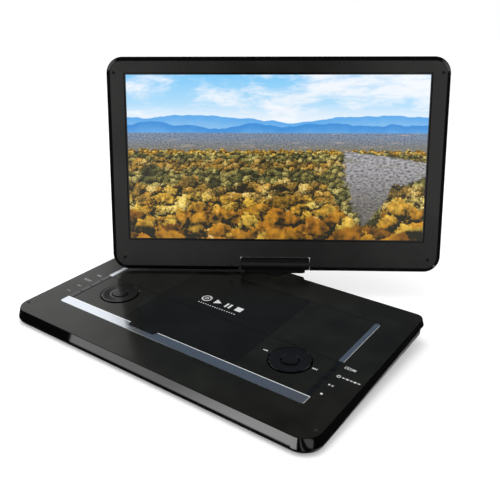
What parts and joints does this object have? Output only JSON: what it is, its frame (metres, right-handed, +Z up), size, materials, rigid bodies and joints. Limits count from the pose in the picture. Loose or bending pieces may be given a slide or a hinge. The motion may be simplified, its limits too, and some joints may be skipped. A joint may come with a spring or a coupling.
{
  "type": "portable disc player",
  "caption": "Portable disc player with a wedge base, disc bay, round control pads and a wide screen on a swivel and tilt hinge.",
  "frame": {"origin": "on the table, under the middle of the object as it stands at rest, screen turned and tilted", "axes": "+X to the user's right, +Y away from the user, +Z up from the table"},
  "size_m": [0.3934, 0.3842, 0.2878],
  "materials": {
    "case_black": "satin-gloss black moulded shell",
    "under_black": "fine-textured black underside shell",
    "trim_silver": "mirror-plated trim strip",
    "key_black": "glossy black key cap",
    "rubber": "soft black rubber",
    "steel": "zinc-plated steel",
    "tray_grey": "dark grey moulding",
    "board_green": "solder-masked circuit board",
    "battery_blue": "shrink-wrapped cell pack",
    "lens_glass": "coated lens",
    "screen": "glossy display face",
    "brass": "turned brass",
    "cable": "sleeved cable"
  },
  "bodies": {
    "base": {"base_top_cover": "case_black", "base_bottom_case": "under_black", "rubber_feet": "rubber", "deck_bumpers": "rubber", "case_screws": "steel", "front_trim_strip": "trim_silver", "side_trim_strips": "trim_silver", "key_boards": "board_green", "latch_spring": "steel", "door_hinge_pins": "steel", "disc_well": "tray_grey", "spindle_motor": "steel", "drive_chassis": "steel", "guide_rails": "steel", "sled_motor": "steel", "main_board": "board_green", "battery_pack": "battery_blue", "audio_jacks": "tray_grey", "dc_jack": "tray_grey", "usb_socket": "steel", "card_slot": "steel", "switch_body": "steel", "speakers": "tray_grey", "swivel_bracket": "steel"},
    "swivel": {"hinge_barrel": "case_black", "friction_sleeves": "steel", "swivel_shaft": "steel", "shaft_washers": "steel", "display_cable": "cable"},
    "lid": {"lid_back_cover": "case_black", "lid_front_bezel": "case_black", "bezel_screws": "steel", "lid_bumpers": "rubber", "display_panel": "screen", "backlight_unit": "tray_grey", "driver_board": "board_green", "lid_hinge_brackets": "steel", "tilt_pins": "steel"},
    "door": {"disc_door": "case_black"},
    "open_button": {"open_button": "key_black"},
    "latch": {"door_latch": "tray_grey"},
    "spindle": {"spindle_hub": "tray_grey"},
    "sled": {"pickup_sled": "tray_grey"},
    "lens": {"objective_lens": "lens_glass"},
    "lead_screw": {"lead_screw": "brass"},
    "power_switch": {"power_switch": "key_black"},
    "left_key_1": {"left_key_1": "key_black"},
    "left_key_2": {"left_key_2": "key_black"},
    "left_key_3": {"left_key_3": "key_black"},
    "left_key_4": {"left_key_4": "key_black"},
    "right_key_1": {"right_key_1": "key_black"},
    "right_key_2": {"right_key_2": "key_black"},
    "right_key_3": {"right_key_3": "key_black"},
    "right_key_4": {"right_key_4": "key_black"},
    "left_rocker": {"left_rocker_pivot": "rubber"},
    "left_ring": {"left_nav_ring": "key_black"},
    "left_ok": {"left_ok_button": "key_black"},
    "right_rocker": {"right_rocker_pivot": "rubber"},
    "right_ring": {"right_nav_ring": "key_black"},
    "right_ok": {"right_ok_button": "key_black"}
  },
  "joints": [
    {"name": "screen_swivel", "type": "hinge", "parent": "base", "child": "swivel", "pos_m": [0.00166, 0.04769, 0.04168], "axis": [0, -0.061, 0.9981], "range_deg": [-123.1, 146.9]},
    {"name": "screen_tilt", "type": "hinge", "parent": "swivel", "child": "lid", "pos_m": [0.00166, 0.04769, 0.04168], "axis": [0.8377, 0.5451, 0.0333], "range_deg": [-76.1, 103.9]},
    {"name": "disc_door_open", "type": "hinge", "parent": "base", "child": "door", "pos_m": [0.00166, -0.00726, 0.02279], "axis": [-1, 0, 0], "range_deg": [0, 45]},
    {"name": "open_press", "type": "slide", "parent": "base", "child": "open_button", "axis": [0, 0.061, -0.9981], "range_m": [0, 0.001], "stiffness_N_per_m": 800, "springref_m": -0.0005},
    {"name": "latch_release", "type": "slide", "parent": "base", "child": "latch", "axis": [0, -0.9981, -0.061], "range_m": [0, 0.0016], "deforming": ["latch_spring"]},
    {"name": "spindle_spin", "type": "hinge", "parent": "base", "child": "spindle", "pos_m": [0.00166, -0.07401, 0.01671], "axis": [0, -0.061, 0.9981], "continuous": true},
    {"name": "sled_travel", "type": "slide", "parent": "base", "child": "sled", "axis": [1, 0, 0], "range_m": [0, 0.035]},
    {"name": "lead_screw_turn", "type": "hinge", "parent": "base", "child": "lead_screw", "pos_m": [0.05166, -0.0512, 0.01229], "axis": [1, 0, 0], "range_deg": [0, 4200.5]},
    {"name": "lens_focus", "type": "slide", "parent": "sled", "child": "lens", "axis": [0, -0.061, 0.9981], "range_m": [-0.0004, 0.0004], "stiffness_N_per_m": 200},
    {"name": "power_slide", "type": "slide", "parent": "base", "child": "power_switch", "axis": [0, 0.9981, 0.061], "range_m": [0, 0.004]},
    {"name": "left_key_1_press", "type": "slide", "parent": "base", "child": "left_key_1", "axis": [0, 0.061, -0.9981], "range_m": [0, 0.0006], "stiffness_N_per_m": 800, "springref_m": -0.0004},
    {"name": "left_key_2_press", "type": "slide", "parent": "base", "child": "left_key_2", "axis": [0, 0.061, -0.9981], "range_m": [0, 0.0006], "stiffness_N_per_m": 800, "springref_m": -0.0004},
    {"name": "left_key_3_press", "type": "slide", "parent": "base", "child": "left_key_3", "axis": [0, 0.061, -0.9981], "range_m": [0, 0.0006], "stiffness_N_per_m": 800, "springref_m": -0.0004},
    {"name": "left_key_4_press", "type": "slide", "parent": "base", "child": "left_key_4", "axis": [0, 0.061, -0.9981], "range_m": [0, 0.0006], "stiffness_N_per_m": 800, "springref_m": -0.0004},
    {"name": "right_key_1_press", "type": "slide", "parent": "base", "child": "right_key_1", "axis": [0, 0.061, -0.9981], "range_m": [0, 0.0006], "stiffness_N_per_m": 800, "springref_m": -0.0004},
    {"name": "right_key_2_press", "type": "slide", "parent": "base", "child": "right_key_2", "axis": [0, 0.061, -0.9981], "range_m": [0, 0.0006], "stiffness_N_per_m": 800, "springref_m": -0.0004},
    {"name": "right_key_3_press", "type": "slide", "parent": "base", "child": "right_key_3", "axis": [0, 0.061, -0.9981], "range_m": [0, 0.0006], "stiffness_N_per_m": 800, "springref_m": -0.0004},
    {"name": "right_key_4_press", "type": "slide", "parent": "base", "child": "right_key_4", "axis": [0, 0.061, -0.9981], "range_m": [0, 0.0006], "stiffness_N_per_m": 800, "springref_m": -0.0004},
    {"name": "left_ring_rock_x", "type": "hinge", "parent": "base", "child": "left_rocker", "pos_m": [-0.11434, -0.10077, 0.02008], "axis": [1, 0, 0], "range_deg": [-1.5, 1.5], "stiffness_Nm_per_rad": 3},
    {"name": "left_ring_rock_y", "type": "hinge", "parent": "left_rocker", "child": "left_ring", "pos_m": [-0.11434, -0.10077, 0.02008], "axis": [0, 0.9981, 0.061], "range_deg": [-1.5, 1.5], "stiffness_Nm_per_rad": 3},
    {"name": "left_ok_press", "type": "slide", "parent": "base", "child": "left_ok", "axis": [0, 0.061, -0.9981], "range_m": [0, 0.0006], "stiffness_N_per_m": 800, "springref_m": -0.0004},
    {"name": "right_ring_rock_x", "type": "hinge", "parent": "base", "child": "right_rocker", "pos_m": [0.11766, -0.10077, 0.02008], "axis": [1, 0, 0], "range_deg": [-1.5, 1.5], "stiffness_Nm_per_rad": 3},
    {"name": "right_ring_rock_y", "type": "hinge", "parent": "right_rocker", "child": "right_ring", "pos_m": [0.11766, -0.10077, 0.02008], "axis": [0, 0.9981, 0.061], "range_deg": [-1.5, 1.5], "stiffness_Nm_per_rad": 3},
    {"name": "right_ok_press", "type": "slide", "parent": "base", "child": "right_ok", "axis": [0, 0.061, -0.9981], "range_m": [0, 0.0006], "stiffness_N_per_m": 800, "springref_m": -0.0004}
  ],
  "couplings": [
    {"joint": "latch_release", "follows": "open_press", "ratio": 1.6},
    {"joint": "lead_screw_turn", "follows": "sled_travel", "rad_per_m": 2094.4}
  ]
}
